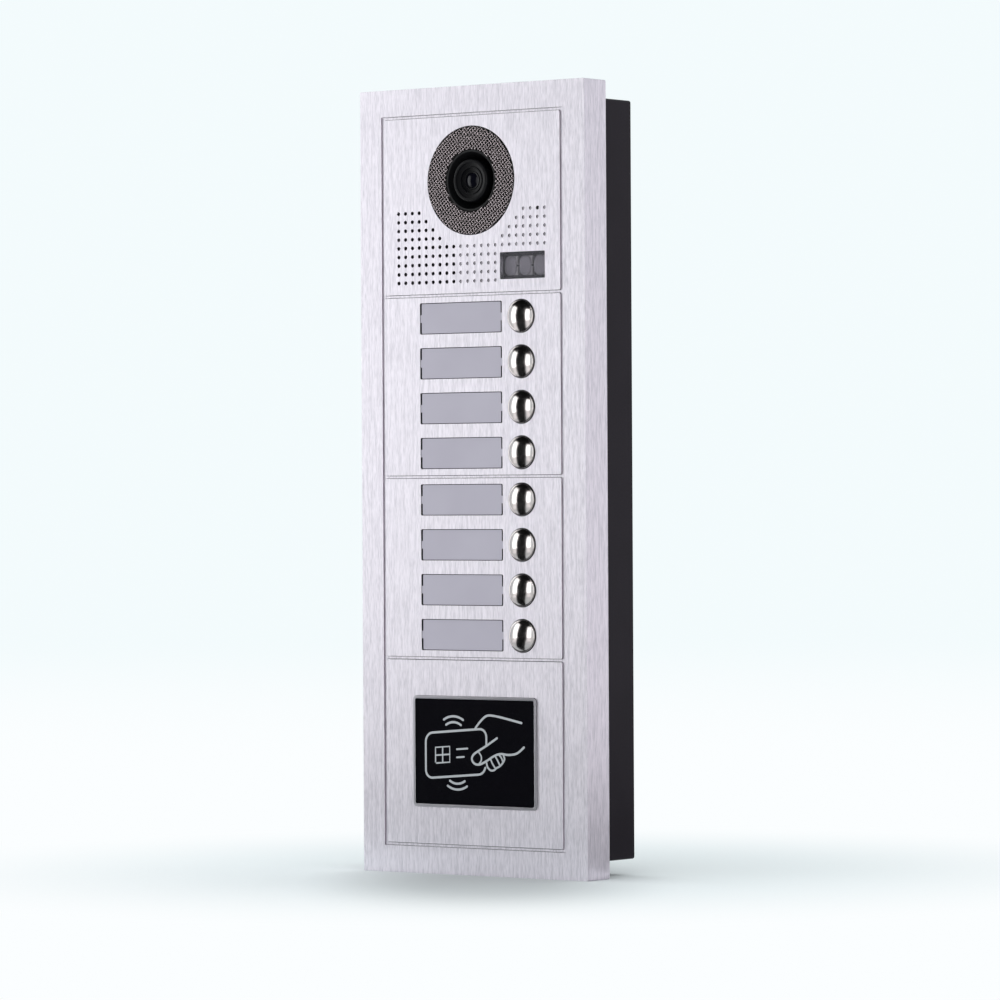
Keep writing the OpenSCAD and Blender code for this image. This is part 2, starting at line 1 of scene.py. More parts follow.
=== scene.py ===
"""Door intercom panel: its looks, stage, lights and camera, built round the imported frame."""
import json
import math

import bmesh
import bpy
from mathutils import Matrix, Vector


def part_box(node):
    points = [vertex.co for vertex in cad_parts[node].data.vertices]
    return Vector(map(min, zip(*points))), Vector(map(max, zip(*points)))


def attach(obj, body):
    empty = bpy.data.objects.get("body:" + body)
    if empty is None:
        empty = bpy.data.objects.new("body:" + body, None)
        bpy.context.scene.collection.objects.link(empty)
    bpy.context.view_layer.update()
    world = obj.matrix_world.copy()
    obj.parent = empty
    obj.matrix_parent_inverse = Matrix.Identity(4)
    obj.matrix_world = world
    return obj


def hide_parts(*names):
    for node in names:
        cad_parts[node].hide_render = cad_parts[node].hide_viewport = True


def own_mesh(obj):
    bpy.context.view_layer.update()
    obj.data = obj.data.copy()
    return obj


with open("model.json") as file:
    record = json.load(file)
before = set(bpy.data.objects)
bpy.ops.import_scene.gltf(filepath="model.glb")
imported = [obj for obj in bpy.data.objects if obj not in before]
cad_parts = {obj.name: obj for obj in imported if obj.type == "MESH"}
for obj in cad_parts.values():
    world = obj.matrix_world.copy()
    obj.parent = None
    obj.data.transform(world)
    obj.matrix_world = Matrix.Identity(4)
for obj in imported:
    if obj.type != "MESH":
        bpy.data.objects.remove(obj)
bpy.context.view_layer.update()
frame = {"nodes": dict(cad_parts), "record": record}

MM = 0.001
NODES = frame["nodes"]
PANEL = "panel"
FACE_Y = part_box("face_frame")[0].y
FLOOR_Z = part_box("face_frame")[0].z
BUTTONS = range(1, 9)


# ---------------------------------------------------------------- camera

CAMERA_AZIMUTH = math.radians(37.28)
CAMERA_DISTANCE = 2.287
CAMERA_ROLL = math.radians(-0.3)
CAMERA_LENS = 186.75
CAMERA_TARGET = Vector((0.0154, FACE_Y, -0.0087))


def add_camera():
    data = bpy.data.cameras.new("photo_camera")
    data.lens = CAMERA_LENS
    data.sensor_width = 36
    data.clip_start, data.clip_end = 0.1, 60
    cam = bpy.data.objects.new("photo_camera", data)
    bpy.context.scene.collection.objects.link(cam)
    back = Vector((math.sin(CAMERA_AZIMUTH), -math.cos(CAMERA_AZIMUTH), 0))
    look = (-back).to_track_quat("-Z", "Y").to_matrix().to_4x4()
    place = Matrix.Translation(CAMERA_TARGET + back * CAMERA_DISTANCE)
    cam.matrix_world = place @ look @ Matrix.Rotation(CAMERA_ROLL, 4, "Z")
    bpy.context.scene.camera = cam


# ---------------------------------------------------------------- materials


SHADED_CUT_EDGE = (0.12, 0.116, 0.125)  # cut edges of the aluminium, darkened with painted shade as if in the shade of the gaps
DARK_EDGE = (0.02, 0.02, 0.022)  # edges in the shade of a gap
PAINTED_SIDE_TINT = (0.99, 0.94, 0.96)  # painted tint: the aluminium's faces that look along X are made slightly darker and more violet, for the light they catch
FINE_STREAKS = (2600, 2600, 260)
BROAD_STREAKS = (800, 800, 60)


class Shader:
    """A node material with one Principled shader, and short ways to add the nodes used here."""

    def __init__(self, name, color, metallic=0.0, roughness=0.5, **sockets):
        self.material = bpy.data.materials.new(name)
        self.material.use_nodes = True
        self.nodes = self.material.node_tree.nodes
        self.links = self.material.node_tree.links
        self.bsdf = self.nodes["Principled BSDF"]
        self.set("Base Color", (*color, 1))
        self.set("Metallic", metallic)
        self.set("Roughness", roughness)
        for socket, value in sockets.items():
            self.set(socket.replace("_", " ").title().replace("Ior", "IOR"), value)

    def set(self, socket, value):
        self.bsdf.inputs[socket].default_value = value

    def link(self, source, target):
        self.links.new(source, target)

    def coords(self, scale):
        """Object coordinates in metres, scaled on each axis."""
        place = self.nodes.new("ShaderNodeTexCoord")
        mapping = self.nodes.new("ShaderNodeMapping")
        mapping.inputs["Scale"].default_value = scale
        self.link(place.outputs["Object"], mapping.inputs["Vector"])
        return mapping.outputs["Vector"]

    def noise(self, scale, detail=3.0):
        """Noise whose grain is 1 / scale metres long on each axis."""
        noise = self.nodes.new("ShaderNodeTexNoise")
        noise.inputs["Scale"].default_value = 1
        noise.inputs["Detail"].default_value = detail
        self.link(self.coords(scale), noise.inputs["Vector"])
        return noise.outputs["Fac"]

    def ramp(self, source, stops):
        ramp = self.nodes.new("ShaderNodeValToRGB")
        elements = ramp.color_ramp.elements
        while len(elements) < len(stops):
            elements.new(0.5)
        for element, (position, color) in zip(elements, stops):
            element.position = position
            element.color = (*color, 1)
        self.link(source, ramp.inputs["Fac"])
        return ramp.outputs["Color"]

    def remap(self, source, low, high, start=0.3, end=0.7):
        remap = self.nodes.new("ShaderNodeMapRange")
        for socket, value in (("From Min", start), ("From Max", end), ("To Min", low), ("To Max", high)):
            remap.inputs[socket].default_value = value
        self.link(source, remap.inputs["Value"])
        return remap.outputs["Result"]

    def blend(self, first, second, share):
        """A blend of two values, with this share of the second."""
        mix = self.nodes.new("ShaderNodeMix")
        mix.inputs["Factor"].default_value = share
        self.link(first, mix.inputs["A"])
        self.link(second, mix.inputs["B"])
        return mix.outputs["Result"]

    def math(self, operation, first, second):
        """A Math node; second may be a number or a socket."""
        node = self.nodes.new("ShaderNodeMath")
        node.operation = operation
        self.link(first, node.inputs[0])
        if isinstance(second, (int, float)):
            node.inputs[1].default_value = second
        else:
            self.link(second, node.inputs[1])
        return node.outputs["Value"]

    def cut_edges(self, half_sizes=()):
        """1 on faces that don't look along Y, within half_sizes of the middle in X and Z, if given."""
        place = self.nodes.new("ShaderNodeTexCoord")
        parts = {}
        for output in ("Object", "Normal"):
            split = self.nodes.new("ShaderNodeSeparateXYZ")
            self.link(place.outputs[output], split.inputs["Vector"])
            parts[output] = split.outputs
        mask = self.math("LESS_THAN", self.math("ABSOLUTE", parts["Normal"]["Y"], 0), 0.5)
        for axis, half in zip("XZ", half_sizes):
            inside = self.math("LESS_THAN", self.math("ABSOLUTE", parts["Object"][axis], 0), half)
            mask = self.math("MULTIPLY", mask, inside)
        return mask

    def ends(self):
        """1 on faces that look along X."""
        place = self.nodes.new("ShaderNodeTexCoord")
        split = self.nodes.new("ShaderNodeSeparateXYZ")
        self.link(place.outputs["Normal"], split.inputs["Vector"])
        return self.math("GREATER_THAN", self.math("ABSOLUTE", split.outputs["X"], 0), 0.8)

    def where(self, mask, color, other, blend="MIX"):
        """The other colour, or its product with the first, where the mask is 1."""
        mix = self.nodes.new("ShaderNodeMix")
        mix.data_type = "RGBA"
        mix.blend_type = blend
        mix.inputs["B"].default_value = (*other, 1)
        self.link(mask, mix.inputs["Factor"])
        self.link(color, mix.inputs["A"])
        return mix.outputs["Result"]

    def color(self, source):
        self.link(source, self.bsdf.inputs["Base Color"])

    def roughness(self, source, low, high):
        self.link(self.remap(source, low, high), self.bsdf.inputs["Roughness"])

    def bump(self, source, height, strength=1.0):
        bump = self.nodes.new("ShaderNodeBump")
        bump.inputs["Strength"].default_value = strength
        bump.inputs["Distance"].default_value = height
        self.link(source, bump.inputs["Height"])
        self.link(bump.outputs["Normal"], self.bsdf.inputs["Normal"])

    def tangent_round_z(self):
        tangent = self.nodes.new("ShaderNodeTangent")
        tangent.direction_type = "RADIAL"
        tangent.axis = "Z"
        self.link(tangent.outputs["Tangent"], self.bsdf.inputs["Tangent"])


def brushed_aluminium(name, dark, light, shaded_edge_box):
    """Anodised aluminium brushed up and down: fine upright streaks in colour, gloss and relief.

    Cut edges within the given half-sizes in X and Z are darkened with painted shade."""
    s = Shader(name, light, metallic=0.85, anisotropic=0.6)
    streaks = s.blend(s.noise(FINE_STREAKS, detail=4), s.noise(BROAD_STREAKS, detail=3), 0.45)
    # painted light: faces that look along X take the side tint
    face = s.where(s.ends(), s.ramp(streaks, ((0.38, dark), (0.58, light))), PAINTED_SIDE_TINT, "MULTIPLY")
    # painted shade on the cut edges inside the plate field
    s.color(s.where(s.cut_edges(shaded_edge_box), face, SHADED_CUT_EDGE))
    s.roughness(streaks, 0.42, 0.5)
    s.bump(streaks, 0.00002, 0.3)
    s.tangent_round_z()
    return s.material


def polished_steel(name, color, low, high, dark_sides=False):
    """Bright metal with a slight drift of colour and a roughness between low and high."""
    s = Shader(name, color, metallic=1.0)
    shine = s.ramp(s.noise((60, 60, 60)), ((0.3, [0.94 * c for c in color]), (0.7, color)))
    s.color(s.where(s.cut_edges(), shine, DARK_EDGE) if dark_sides else shine)
    s.roughness(s.noise((300, 300, 300), detail=4), low, high)
    return s.material


def moulded_plastic(name, color, light, roughness, grain=1500, height=0.00001, specular=0.5, dark_sides=False):
    """Plastic or powder coat with a fine grain and a slight drift of colour."""
    s = Shader(name, color, roughness=roughness, specular_ior_level=specular)
    grain_noise = s.noise((grain,) * 3, detail=3)
    drift = s.noise((40, 40, 40), detail=2)
    tint = s.ramp(drift, ((0.3, color), (0.7, light)))
    s.color(s.where(s.cut_edges(), tint, DARK_EDGE) if dark_sides else tint)
    s.roughness(grain_noise, roughness - 0.05, roughness + 0.06)
    s.bump(grain_noise, height, 0.5)
    return s.material


def dark_glass(name, color, roughness, specular):
    """Opaque gloss, for what is too dark to see through."""
    s = Shader(name, color, roughness=roughness, specular_ior_level=specular)
    s.roughness(s.noise((150, 150, 150)), roughness, roughness + 0.05)
    return s.material


def smoked_pane(name, tint):
    """Tinted pane that shows the shapes behind it, a little blurred."""
    s = Shader(name, tint, roughness=0.2, transmission_weight=0.92, ior=1.2)
    s.roughness(s.noise((200, 200, 200)), 0.17, 0.23)
    return s.material


def build_materials():
    plates = (0.0475, 0.1635)  # half-sizes of the field with the plates
    return {
        "face_aluminium": brushed_aluminium(
            "face_aluminium", (0.64, 0.61, 0.67), (0.85, 0.81, 0.875), plates),
        "plate_aluminium": brushed_aluminium(
            "plate_aluminium", (0.655, 0.625, 0.685), (0.86, 0.82, 0.885), plates),
        # the frame's rounded edges: polished metal painted darker than the face, a painted dark reflection
        # along the edge
        "chamfer_metal": polished_steel("chamfer_metal", (0.36, 0.35, 0.38), 0.2, 0.26),
        "carrier_plastic": moulded_plastic("carrier_plastic", (0.02, 0.02, 0.021), (0.03, 0.03, 0.032), 0.6),
        "mesh_metal": polished_steel("mesh_metal", (0.56, 0.495, 0.51), 0.14, 0.2),
        "mesh_backing": moulded_plastic(
            "mesh_backing", (0.006, 0.006, 0.006), (0.01, 0.009, 0.009), 0.8, specular=0.1),
        "hood_plastic": moulded_plastic(
            "hood_plastic", (0.004, 0.004, 0.005), (0.006, 0.006, 0.007), 0.45, specular=0.3),
        "barrel_black": moulded_plastic(
            "barrel_black", (0.003, 0.003, 0.004), (0.004, 0.004, 0.005), 0.34, specular=0.15),
        "lens_coated_glass": dark_glass("lens_coated_glass", (0.003, 0.003, 0.006), 0.12, 0.12),
        "circuit_board": moulded_plastic("circuit_board", (0.01, 0.07, 0.035), (0.015, 0.1, 0.05), 0.4),
        "speaker_metal": polished_steel("speaker_metal", (0.3, 0.3, 0.32), 0.35, 0.5),
        "speaker_paper": moulded_plastic("speaker_paper", (0.01, 0.01, 0.01), (0.02, 0.02, 0.02), 0.9),
        "capsule_metal": polished_steel("capsule_metal", (0.7, 0.7, 0.72), 0.3, 0.45),
        "lamp_pane": smoked_pane("lamp_pane", (0.55, 0.53, 0.57)),
        "lamp_mask": moulded_plastic("lamp_mask", (0.01, 0.01, 0.012), (0.014, 0.014, 0.016), 0.5),
        "guide_resin": moulded_plastic("guide_resin", (0.56, 0.55, 0.56), (0.62, 0.61, 0.62), 0.5),
        "led_resin": moulded_plastic("led_resin", (0.75, 0.75, 0.70), (0.85, 0.85, 0.8), 0.4),
        "name_window_plastic": moulded_plastic(
            "name_window_plastic", (0.45, 0.415, 0.49), (0.48, 0.445, 0.52), 0.45,
            grain=2500, height=0.000006, dark_sides=True),
        "card_paper": moulded_plastic("card_paper", (0.7, 0.7, 0.74), (0.75, 0.75, 0.78), 0.8),
        "button_steel": polished_steel("button_steel", (0.50, 0.465, 0.46), 0.13, 0.18),
        "plunger_black": moulded_plastic("plunger_black", (0.008, 0.008, 0.009), (0.012, 0.012, 0.013), 0.5),
        "spring_steel": polished_steel("spring_steel", (0.55, 0.55, 0.57), 0.25, 0.4),
        "switch_plastic": moulded_plastic("switch_plastic", (0.01, 0.01, 0.01), (0.02, 0.02, 0.02), 0.5),
        "trim_metal": polished_steel("trim_metal", (0.62, 0.605, 0.655), 0.3, 0.34, dark_sides=True),
        "reader_acrylic": dark_glass("reader_acrylic", (0.0045, 0.0042, 0.006), 0.08, 0.3),
        "printed_ink": moulded_plastic("printed_ink", (0.42, 0.43, 0.45), (0.5, 0.51, 0.53), 0.5),
        "coil_copper": polished_steel("coil_copper", (0.7, 0.35, 0.18), 0.3, 0.4),
        "terminal_plastic": moulded_plastic("terminal_plastic", (0.02, 0.16, 0.06), (0.03, 0.2, 0.08), 0.5),
        "ribbon_pvc": moulded_plastic("ribbon_pvc", (0.4, 0.4, 0.42), (0.46, 0.46, 0.48), 0.5),
        "box_black": moulded_plastic(
            "box_black", (0.0105, 0.0065, 0.0115), (0.013, 0.0085, 0.014), 0.5,
            grain=1400, height=0.00002, specular=0.12),
        "seal_rubber": moulded_plastic("seal_rubber", (0.012, 0.012, 0.012), (0.02, 0.02, 0.02), 0.75),
        "screw_steel": polished_steel("screw_steel", (0.6, 0.6, 0.62), 0.22, 0.35),
    }


MATERIALS = build_materials()


def dress_nodes():
    """Gives each CAD node the material of its slot."""
    for row in frame["record"]["subparts"]:
        mesh = NODES[row["node"]].data
        mesh.materials.clear()
        mesh.materials.append(MATERIALS[row["material_slot"]])


def soften(node, width, segments=2, edge_material=None):
    """Rounds a CAD node's sharp edges without moving its mesh; the rounds may have their own material."""
    obj = NODES[node]
    obj.modifiers.new("shared_corners", "WELD").merge_threshold = 1e-6
    flat = obj.modifiers.new("flat_faces", "DECIMATE")
    flat.decimate_type = "DISSOLVE"
    flat.angle_limit = math.radians(1)
    bevel = obj.modifiers.new("soft_edges", "BEVEL")
    bevel.width = width
    bevel.segments = segments
    bevel.limit_method = "ANGLE"
    bevel.angle_limit = math.radians(35)
    if edge_material:
        obj.data.materials.append(MATERIALS[edge_material])
        bevel.material = 1
    obj.modifiers.new("clean_shading", "WEIGHTED_NORMAL")


# ---------------------------------------------------------------- mesh helpers


def add_piece(name, bm, material, body=PANEL, replaces=(), smooth=True):
    """Turns a bmesh in metres into a piece that rides on a body."""
    bmesh.ops.recalc_face_normals(bm, faces=bm.faces)
    mesh = bpy.data.meshes.new(name)
    bm.to_mesh(mesh)
    bm.free()
    mesh.materials.append(MATERIALS[material])
    if smooth:
        mesh.shade_smooth()
    piece = bpy.data.objects.new(name, mesh)
    bpy.context.scene.collection.objects.link(piece)
    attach(piece, body)
    if replaces:
        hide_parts(*replaces)
    return piece


def turned(bm, profile, centre, steps=96):
    """Revolves a profile of (radius, depth behind the face) in millimetres about an axis along Y."""
    rings = []
    for radius, depth in profile:
        y = FACE_Y + depth * MM
        if radius == 0:
            rings.append([bm.verts.new((centre.x, y, centre.z))])
            continue
        ring = []
        for i in range(steps):
            a = 2 * math.pi * i / steps
            x, z = radius * MM * math.cos(a), radius * MM * math.sin(a)
            ring.append(bm.verts.new((centre.x + x, y, centre.z + z)))
        rings.append(ring)
    for one, two in zip(rings, rings[1:]):
        for i in range(steps):
            j = (i + 1) % steps
            corners = [one[i % len(one)], one[j % len(one)], two[j % len(two)], two[i % len(two)]]
            bm.faces.new(dict.fromkeys(corners))


def arc(cx, cy, radius, start, end, steps):
    """Points of an arc, angles in degrees."""
    out = []
    for i in range(steps + 1):
        a = math.radians(start + (end - start) * i / steps)
        out.append((cx + radius * math.cos(a), cy + radius * math.sin(a)))
    return out


def middle(node):
    """The middle of a CAD node's box."""
    low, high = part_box(node)
    return (low + high) / 2


# ---------------------------------------------------------------- buttons and springs

# Millimetres; depths count from the face, into the panel
BUTTON_R = 7.1
DOME_H = 2.2
DOME_EDGE = -0.3
EDGE_FILLET = 0.35
SKIRT_END = 0.9


def button_profile():
    """Domed steel head with a small rounded shoulder; the black plunger carries on behind it."""
    dome_r = (BUTTON_R ** 2 + DOME_H ** 2) / (2 * DOME_H)
    centre = DOME_EDGE - DOME_H + dome_r
    spread = math.degrees(math.asin((BUTTON_R - EDGE_FILLET) / dome_r))
    dome = [(r, -d) for d, r in arc(-centre, 0, dome_r, 0, spread, 28)]
    shoulder_d = dome[-1][1] + EDGE_FILLET * 0.9
    shoulder = [(r, -d) for d, r in arc(-shoulder_d, BUTTON_R - EDGE_FILLET, EDGE_FILLET, 20, 90, 5)]
    return [(0, DOME_EDGE - DOME_H)] + dome[1:] + shoulder + [(BUTTON_R, SKIRT_END)]


PLUNGER = [(BUTTON_R, SKIRT_END), (BUTTON_R, 3.05), (8.15, 3.1), (8.2, 3.15), (8.2, 4.25), (8.15, 4.3),
           (2.5, 4.3), (2.5, 8.3), (2.3, 8.5), (0, 8.5)]


def add_buttons():
    profile = button_profile()
    for i in BUTTONS:
        bm = bmesh.new()
        turned(bm, profile, middle(f"button_{i}"))
        for face in bm.faces:
            face.tag = True
        turned(bm, PLUNGER, middle(f"button_{i}"))
        for face in bm.faces:
            face.material_index = 0 if face.tag else 1
        bmesh.ops.remove_doubles(bm, verts=bm.verts, dist=1e-7)
        piece = add_piece(f"call_button_{i}", bm, "button_steel", f"call_{i}", replaces=[f"button_{i}"])
        piece.data.materials.append(MATERIALS["plunger_black"])
        piece.data.set_sharp_from_angle(angle=math.radians(40))


SPRING_R = 4.3
SPRING_WIRE_R = 0.28
SPRING_TURNS = 3.5
SPRING_STEPS = 110
SPRING_SIDES = 8


def add_springs():
    """Coil springs behind the buttons, each filling the box of its CAD node."""
    for i in BUTTONS:
        node = f"button_spring_{i}"
        low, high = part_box(node)
        centre = middle(f"button_{i}")
        start, end = low.y + SPRING_WIRE_R * MM, high.y - SPRING_WIRE_R * MM
        bm = bmesh.new()
        rings = []
        for n in range(SPRING_STEPS):
            turn = 2 * math.pi * SPRING_TURNS * n / (SPRING_STEPS - 1)
            y = start + (end - start) * n / (SPRING_STEPS - 1)
            out = Vector((math.cos(turn), 0, math.sin(turn)))
            ring = []
            for k in range(SPRING_SIDES):
                a = 2 * math.pi * k / SPRING_SIDES
                radius = (SPRING_R + SPRING_WIRE_R * math.cos(a)) * MM
                core = Vector((centre.x, y + SPRING_WIRE_R * MM * math.sin(a), centre.z))
                ring.append(bm.verts.new(core + out * radius))
            rings.append(ring)
        bridge(bm, rings)
        piece = add_piece(f"return_spring_{i}", bm, "spring_steel", replaces=[node])
        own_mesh(piece)


def bridge(bm, rings):
    """Joins a row of equal closed rings into a tube with closed ends."""
    sides = len(rings[0])
    for one, two in zip(rings, rings[1:]):
        for k in range(sides):
            bm.faces.new((one[k], one[(k + 1) % sides], two[(k + 1) % sides], two[k]))
    bm.faces.new(rings[0])
    bm.faces.new(reversed(rings[-1]))


# ---------------------------------------------------------------- camera ring and lens

MESH_PITCH = 1.35
MESH_WIRE_R = 0.19
MESH_WIRE_SIDES = 5
MESH_DEPTH = -0.05
MESH_SLANT = 38
MESH_MARGIN = 0.1
MESH_INNER_R = 13.6


def add_camera_mesh():
    """Woven wire cloth over the camera ring, laid on the slant."""
    low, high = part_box("camera_ring")
    centre = (low + high) / 2
    outer = (high.x - low.x) / 2 / MM - MESH_MARGIN
    lift = MESH_WIRE_R * 0.9
    bm = bmesh.new()
    for degrees, side in ((MESH_SLANT, 1), (MESH_SLANT + 90, -1)):
        slant = math.radians(degrees)
        along = Vector((math.cos(slant), 0, math.sin(slant)))
        across = Vector((-math.sin(slant), 0, math.cos(slant)))
        count = int(outer / MESH_PITCH)
        for k in range(-count, count + 1):
            offset = k * MESH_PITCH
            reach = math.sqrt(outer ** 2 - offset ** 2)
            hollow = math.sqrt(max(MESH_INNER_R ** 2 - offset ** 2, 0))
            spans = [(-reach, -hollow), (hollow, reach)] if hollow else [(-reach, reach)]
            for start, end in spans:
                wire(bm, centre, along, across, offset, start, end, lift, side * (-1) ** k)
    add_piece("camera_mesh", bm, "mesh_metal")


def wire(bm, centre, along, across, offset, start, end, lift, phase):
    """One wire of the cloth, going over and under every crossing wire."""
    half = MESH_PITCH / 2
    first, last = math.ceil(start / half), math.floor(end / half)
    rings = []
    for n in range(first, last + 1):
        s = n * half
        depth = MESH_DEPTH - lift * phase * math.cos(math.pi * s / MESH_PITCH)
        here = centre + (along * s + across * offset) * MM
        here.y = FACE_Y + depth * MM
        ring = []
        for k in range(MESH_WIRE_SIDES):
            a = 2 * math.pi * k / MESH_WIRE_SIDES
            out = across * math.cos(a) + Vector((0, math.sin(a), 0))
            ring.append(bm.verts.new(here + out * MESH_WIRE_R * MM))
        rings.append(ring)
    if len(rings) > 1:
        bridge(bm, rings)


# Radius and depth behind the barrel's front, in millimetres
BARREL_STEPS = (
    (8.0, 0.05), (7.9, 0.5), (6.3, 0.75), (6.15, 0.35), (5.6, 0.4), (5.45, 1.3),
    (4.2, 1.5), (4.0, 1.2), (3.5, 1.3), (3.3, 2.2), (0, 2.2),
)


def add_lens():
    """Stepped lens barrel and a small domed front element, turned about the camera's axis."""
    front = (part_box("lens_barrel")[0].y - FACE_Y) / MM
    barrel = [(9.5, front + 13), (9.5, front + 0.9)] + arc_profile(8.9, front + 0.6, 0.6, 90, 0)
    barrel += [(r, front + depth) for r, depth in BARREL_STEPS]
    bm = bmesh.new()
    turned(bm, barrel[::-1], middle("lens_glass"))
    piece = add_piece("barrel_front", bm, "barrel_black", replaces=["lens_barrel"])
    piece.data.set_sharp_from_angle(angle=math.radians(35))
    dome = [(0, front + 0.9)] + [(r, front + 0.9 + r * r / 14) for r in (0.6, 1.2, 1.8, 2.4, 2.9, 3.25)]
    bm = bmesh.new()
    turned(bm, dome + [(3.25, front + 2.15), (0, front + 2.15)], middle("lens_glass"), 72)
    lens = add_piece("front_lens", bm, "lens_coated_glass", replaces=["lens_glass"])
    lens.data.set_sharp_from_angle(angle=math.radians(35))


def arc_profile(radius, depth, r, start, end, steps=5):
    """A rounded corner of a turned profile: 90 degrees faces outwards, 0 faces the front."""
    out = []
    for i in range(steps + 1):
        a = math.radians(start + (end - start) * i / steps)
        out.append((radius + r * math.sin(a), depth - r * math.cos(a)))
    return out


# ---------------------------------------------------------------- lamp window

# Millimetres; a negative shift is to the left of the lamps
GUIDE_W = 6.6
GUIDE_H = 8.8
GUIDE_R = 3.0
GUIDE_PITCH = 8.1
GUIDE_SHIFT = -1.2
# How far the outline is drawn in, and how deep it lies behind the window
GUIDE_DOME = ((4.4, 0.1), (3, 0.14), (1.6, 0.24), (0.6, 0.38), (0, 0.6), (0, 0.75))


def rounded_ring(bm, centre, y, w, h, r):
    """Corners of a rounded rectangle facing along Y, sizes in millimetres."""
    outline = []
    for cx, cz, start in ((1, 1, 0), (-1, 1, 90), (-1, -1, 180), (1, -1, 270)):
        outline += arc(cx * (w / 2 - r), cz * (h / 2 - r), r, start, start + 90, 5)
    return [bm.verts.new((centre.x + x * MM, y, centre.z + z * MM)) for x, z in outline]


def add_lamp_guides():
    """Three domed light guides between the lamps and the lamp window, a little to its left."""
    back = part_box("lamp_window")[1].y
    window = middle("lamp_window")
    for name, side in (("left", -1), ("middle", 0), ("right", 1)):
        centre = window + Vector(((GUIDE_SHIFT + side * GUIDE_PITCH) * MM, 0, 0))
        bm = bmesh.new()
        rings = []
        for inset, depth in GUIDE_DOME:
            w, h, r = GUIDE_W - inset, GUIDE_H - inset, GUIDE_R - inset / 2
            rings.append(rounded_ring(bm, centre, back + depth * MM, w, h, r))
        bridge(bm, rings)
        guide = add_piece(f"lamp_guide_{name}", bm, "guide_resin")
        guide.data.set_sharp_from_angle(angle=math.radians(60))


# ---------------------------------------------------------------- reader pictogram

# Line widths, the ink's thickness in millimetres, and the slope of the card
STROKE = 1.0
FINGER_STROKE = 0.8
THIN_STROKE = 0.7
INK_T = 0.03
LINE_LIFT = 0.002  # each line lies this much above the one before
CARD_SLANT = 0.08


def smooth_path(points, steps=6):
    """A Catmull-Rom curve through a few points."""
    if len(points) < 3:
        return points
    ends = [points[0]] + list(points) + [points[-1]]
    out = []
    for p0, p1, p2, p3 in zip(ends, ends[1:], ends[2:], ends[3:]):
        for n in range(steps):
            t = n / steps
            out.append(tuple(
                0.5 * (2 * b + (c - a) * t + (2 * a - 5 * b + 4 * c - d) * t ** 2
                       + (3 * b - a - 3 * c + d) * t ** 3)
                for a, b, c, d in zip(p0, p1, p2, p3)
            ))
    return out + [points[-1]]


def stroke(bm, centre, face, path, width, lift):
    """A flat printed line with round ends along a path of (x, z) millimetres from a centre."""
    n = len(path)
    left, right = [], []
    for i, (x, z) in enumerate(path):
        a, b = path[max(i - 1, 0)], path[min(i + 1, n - 1)]
        dx, dz = b[0] - a[0], b[1] - a[1]
        size = math.hypot(dx, dz) or 1
        nx, nz = -dz / size * width / 2, dx / size * width / 2
        left.append((x + nx, z + nz))
        right.append((x - nx, z - nz))
    cap_end = round_cap(path[-1], left[-1])
    cap_start = round_cap(path[0], right[0])
    outline = left + cap_end + right[::-1] + cap_start
    strip_faces(bm, centre, face, outline, n, len(cap_end), lift)


def round_cap(centre, start, steps=6):
    """Half a turn, clockwise, from a start point to the one across, without both ends."""
    a0 = math.atan2(start[1] - centre[1], start[0] - centre[0])
    radius = math.hypot(start[0] - centre[0], start[1] - centre[1])
    turns = [a0 - math.pi * k / steps for k in range(1, steps)]
    return [(centre[0] + radius * math.cos(a), centre[1] + radius * math.sin(a)) for a in turns]


def strip_faces(bm, centre, face, outline, count, caps, lift):
    """A thin solid on the outline of a line of count points on each side and caps points at each end."""
    def vert(p, y):
        return bm.verts.new((centre.x + p[0] * MM, y, centre.z + p[1] * MM))

    front_y, back_y = face - (INK_T + lift) * MM, face + 0.02 * MM
    front = [vert(p, front_y) for p in outline]
    back = [vert(p, back_y) for p in outline]
    n = count
    for ring, flip in ((front, False), (back, True)):
        lefts, rights = ring[:n], ring[n + caps:n + caps + n][::-1]
        for i in range(n - 1):
            quad = (lefts[i], lefts[i + 1], rights[i + 1], rights[i])
            bm.faces.new(quad[::-1] if flip else quad)
        end_fan = [lefts[-1], *ring[n:n + caps], rights[-1]]
        start_fan = [rights[0], *ring[2 * n + caps:], lefts[0]]
        for fan in (end_fan, start_fan):
            bm.faces.new(fan[::-1] if flip else fan)
    for i in range(len(outline)):
        j = (i + 1) % len(outline)
        bm.faces.new((front[i], back[i], back[j], front[j]))


def slanted(points):
    return [(x, z + CARD_SLANT * x) for x, z in points]


def card_outline():
    """Rounded card seen at a slant, open at the right where the hand holds it."""
    left, right, top, bottom, r = -27.5, 6.5, 10.2, -9.9, 3.8
    path = [(right, 2.9)]
    path += arc(right - r, top - r, r, 0, 90, 6)
    path += arc(left + r, top - r, r, 90, 180, 6)
    path += arc(left + r, bottom + r, r, 180, 270, 6)
    path += arc(right - r - 0.5, bottom + r, r, 270, 345, 5)
    return slanted(path)


